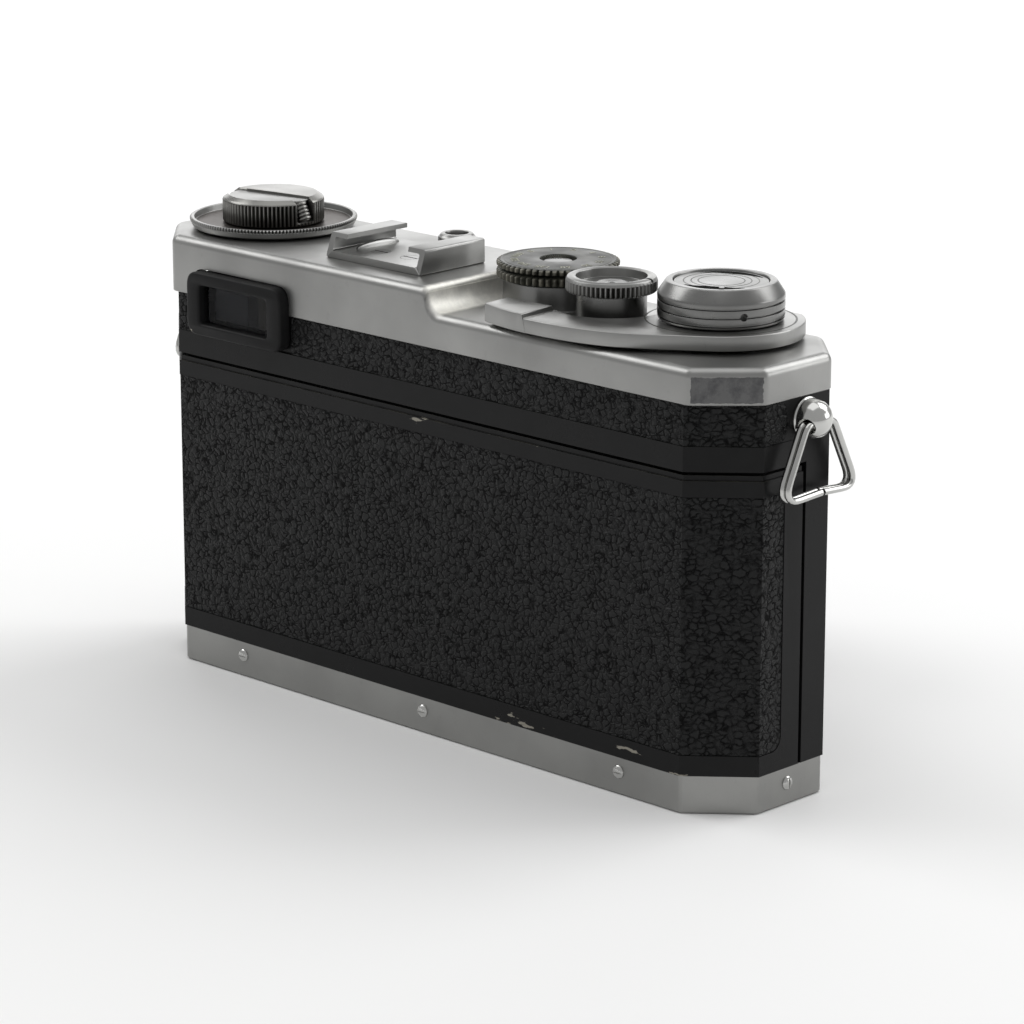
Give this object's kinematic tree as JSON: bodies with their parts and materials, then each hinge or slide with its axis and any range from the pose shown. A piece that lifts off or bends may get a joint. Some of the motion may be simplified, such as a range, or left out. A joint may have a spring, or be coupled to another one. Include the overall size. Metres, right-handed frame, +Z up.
{
  "type": "35 mm rangefinder film camera",
  "caption": "Rangefinder film camera with a removable back, lever advance, speed dials, folding rewind crank, accessory shoe, strap rings and a lens.",
  "frame": {"origin": "centre of the tripod socket's mouth, on the plane the base stands on", "axes": "+Z up; +X towards the rewind end, which is on the left for a viewer behind the camera; the lens points along -Y and the eyepiece looks out along +Y"},
  "size_m": [0.1448, 0.0755, 0.082],
  "materials": {
    "black_paint": "semi-gloss",
    "satin_chrome": "satin",
    "bright_chrome": "polished",
    "leatherette": "matt",
    "steel": "satin",
    "brass": "satin",
    "glass": "polished",
    "curtain_cloth": "matt",
    "black_anodised": "satin"
  },
  "bodies": {
    "back": {"back_cover": "black_paint", "back_leatherette": "leatherette", "base_plate": "satin_chrome", "base_screws": "bright_chrome", "pressure_plate": "black_paint", "tripod_socket": "steel"},
    "camera_body": {"body_casting": "black_paint", "front_leatherette": "leatherette", "leather_band": "leatherette", "top_cover": "satin_chrome", "cover_screws": "bright_chrome", "eyepiece_frame": "black_paint", "eyepiece_glass": "glass", "window_frames": "black_paint", "window_glasses": "glass", "finder_block": "glass", "rangefinder_prism": "glass", "accessory_shoe": "satin_chrome", "shoe_spring": "bright_chrome", "shoe_screws": "bright_chrome", "collar_screw": "bright_chrome", "strap_lugs": "bright_chrome", "film_gate": "black_paint", "shutter_curtain": "curtain_cloth", "mechanism_plate": "steel", "dial_base": "satin_chrome", "release_guard": "satin_chrome", "counter_housing": "satin_chrome", "counter_cover": "satin_chrome", "counter_pin": "bright_chrome", "lens_barrel": "satin_chrome", "lens_optics": "glass"},
    "lock_key_right": {"lock_key_right": "satin_chrome"},
    "lock_key_left": {"lock_key_left": "satin_chrome"},
    "lock_handle_right": {"lock_handle_right": "satin_chrome"},
    "lock_handle_left": {"lock_handle_left": "satin_chrome"},
    "advance_lever": {"advance_lever": "satin_chrome", "wind_gear": "brass"},
    "idler_gear": {"idler_gear": "brass"},
    "sprocket": {"sprocket": "steel", "sprocket_gear": "brass"},
    "takeup_spool": {"takeup_spool": "black_paint", "takeup_gear": "brass"},
    "counter_disc": {"counter_disc": "black_anodised"},
    "curtain_drum": {"curtain_drum": "steel"},
    "spring_roller": {"spring_roller": "steel"},
    "slow_speed_dial": {"slow_speed_dial": "black_anodised"},
    "fast_speed_dial": {"fast_speed_dial": "black_anodised", "dial_screw": "bright_chrome"},
    "release_collar": {"release_collar": "satin_chrome"},
    "release_button": {"release_button": "satin_chrome"},
    "rewind_dial": {"rewind_dial": "satin_chrome"},
    "rewind_knob": {"rewind_knob": "satin_chrome", "rewind_fork": "steel"},
    "rewind_crank": {"rewind_crank": "satin_chrome"},
    "crank_grip": {"crank_grip": "bright_chrome"},
    "strap_ring_right": {"strap_ring_right": "bright_chrome"},
    "strap_ring_left": {"strap_ring_left": "bright_chrome"},
    "focus_ring": {"focus_ring": "satin_chrome"},
    "aperture_ring": {"aperture_ring": "satin_chrome"}
  },
  "joints": [
    {"name": "body_slide", "type": "slide", "parent": "back", "child": "camera_body", "axis": [0, 0, 1], "range_m": [0, 0.052]},
    {"name": "lock_turn_right", "type": "hinge", "parent": "back", "child": "lock_key_right", "pos_m": [-0.05, 0, 0.0015], "axis": [0, 0, 1], "range_deg": [0, 180]},
    {"name": "lock_turn_left", "type": "hinge", "parent": "back", "child": "lock_key_left", "pos_m": [0.05, 0, 0.0015], "axis": [0, 0, 1], "range_deg": [0, 180]},
    {"name": "lock_fold_right", "type": "hinge", "parent": "lock_key_right", "child": "lock_handle_right", "pos_m": [-0.05, 0, 0.00085], "axis": [-1, 0, 0], "range_deg": [0, 150]},
    {"name": "lock_fold_left", "type": "hinge", "parent": "lock_key_left", "child": "lock_handle_left", "pos_m": [0.05, 0, 0.00085], "axis": [-1, 0, 0], "range_deg": [0, 150]},
    {"name": "advance", "type": "hinge", "parent": "camera_body", "child": "advance_lever", "pos_m": [-0.048, -0.0044, 0.0737], "axis": [0, 0, 1], "range_deg": [0, 135], "stiffness_Nm_per_rad": 0.02},
    {"name": "idler_turn", "type": "hinge", "parent": "camera_body", "child": "idler_gear", "pos_m": [-0.03544, -0.00286, 0.065], "axis": [0, 0, 1], "range_deg": [-309.1, 0]},
    {"name": "sprocket_turn", "type": "hinge", "parent": "camera_body", "child": "sprocket", "pos_m": [-0.0293, 0.0008, 0.034], "axis": [0, 0, 1], "range_deg": [0, 360.5]},
    {"name": "takeup_turn", "type": "hinge", "parent": "camera_body", "child": "takeup_spool", "pos_m": [-0.048, -0.0044, 0.034], "axis": [0, 0, 1], "range_deg": [-463.4, 0]},
    {"name": "counter_turn", "type": "hinge", "parent": "camera_body", "child": "counter_disc", "pos_m": [-0.048, -0.0044, 0.0798], "axis": [0, 0, 1], "range_deg": [0, 9.1]},
    {"name": "drum_turn", "type": "hinge", "parent": "camera_body", "child": "curtain_drum", "pos_m": [-0.026, -0.0111, 0.034], "axis": [0, 0, 1], "range_deg": [0, 743]},
    {"name": "roller_turn", "type": "hinge", "parent": "camera_body", "child": "spring_roller", "pos_m": [0.0322, 0.0013, 0.034], "axis": [0, 0, 1], "range_deg": [0, 783.5]},
    {"name": "slow_speed", "type": "hinge", "parent": "camera_body", "child": "slow_speed_dial", "pos_m": [-0.0123, -0.0047, 0.077], "axis": [0, 0, 1], "range_deg": [0, 90]},
    {"name": "fast_speed", "type": "hinge", "parent": "camera_body", "child": "fast_speed_dial", "pos_m": [-0.0123, -0.0047, 0.0786], "axis": [0, 0, 1], "range_deg": [0, 300]},
    {"name": "collar_turn", "type": "hinge", "parent": "camera_body", "child": "release_collar", "pos_m": [-0.0293, 0.0008, 0.0785], "axis": [0, 0, 1], "range_deg": [0, 60]},
    {"name": "release", "type": "slide", "parent": "camera_body", "child": "release_button", "axis": [0, 0, -1], "range_m": [0, 0.0014], "stiffness_N_per_m": 250, "springref_m": -0.002},
    {"name": "rewind_reminder", "type": "hinge", "parent": "camera_body", "child": "rewind_dial", "pos_m": [0.05275, -0.0014, 0.077], "axis": [0, 0, 1], "continuous": true},
    {"name": "rewind_turn", "type": "hinge", "parent": "camera_body", "child": "rewind_knob", "pos_m": [0.05275, -0.0014, 0.079], "axis": [0, 0, 1], "continuous": true},
    {"name": "crank_fold", "type": "hinge", "parent": "rewind_knob", "child": "rewind_crank", "pos_m": [0.05924, -0.00021, 0.08145], "axis": [-0.1805, 0.9836, 0], "range_deg": [0, 150]},
    {"name": "grip_turn", "type": "hinge", "parent": "rewind_crank", "child": "crank_grip", "pos_m": [0.0456, -0.00068, 0.08105], "axis": [0.3685, 0.0676, 0.9272], "continuous": true},
    {"name": "ring_swing_right", "type": "hinge", "parent": "camera_body", "child": "strap_ring_right", "pos_m": [-0.0702, -0.002, 0.062], "axis": [0, 1, 0], "range_deg": [0, 120]},
    {"name": "ring_swing_left", "type": "hinge", "parent": "camera_body", "child": "strap_ring_left", "pos_m": [0.0702, -0.002, 0.062], "axis": [0, -1, 0], "range_deg": [0, 120]},
    {"name": "focus", "type": "hinge", "parent": "camera_body", "child": "focus_ring", "pos_m": [0, -0.0394, 0.034], "axis": [0, 1, 0], "range_deg": [0, 180]},
    {"name": "aperture", "type": "hinge", "parent": "camera_body", "child": "aperture_ring", "pos_m": [0, -0.0485, 0.034], "axis": [0, 1, 0], "range_deg": [0, 120]}
  ],
  "couplings": [
    {"joint": "idler_turn", "follows": "advance", "ratio": -2.2857},
    {"joint": "sprocket_turn", "follows": "advance", "ratio": 2.6667},
    {"joint": "takeup_turn", "follows": "advance", "ratio": -3.4286},
    {"joint": "counter_turn", "follows": "advance", "ratio": 0.066667},
    {"joint": "drum_turn", "follows": "advance", "ratio": 5.5},
    {"joint": "roller_turn", "follows": "advance", "ratio": 5.8}
  ]
}
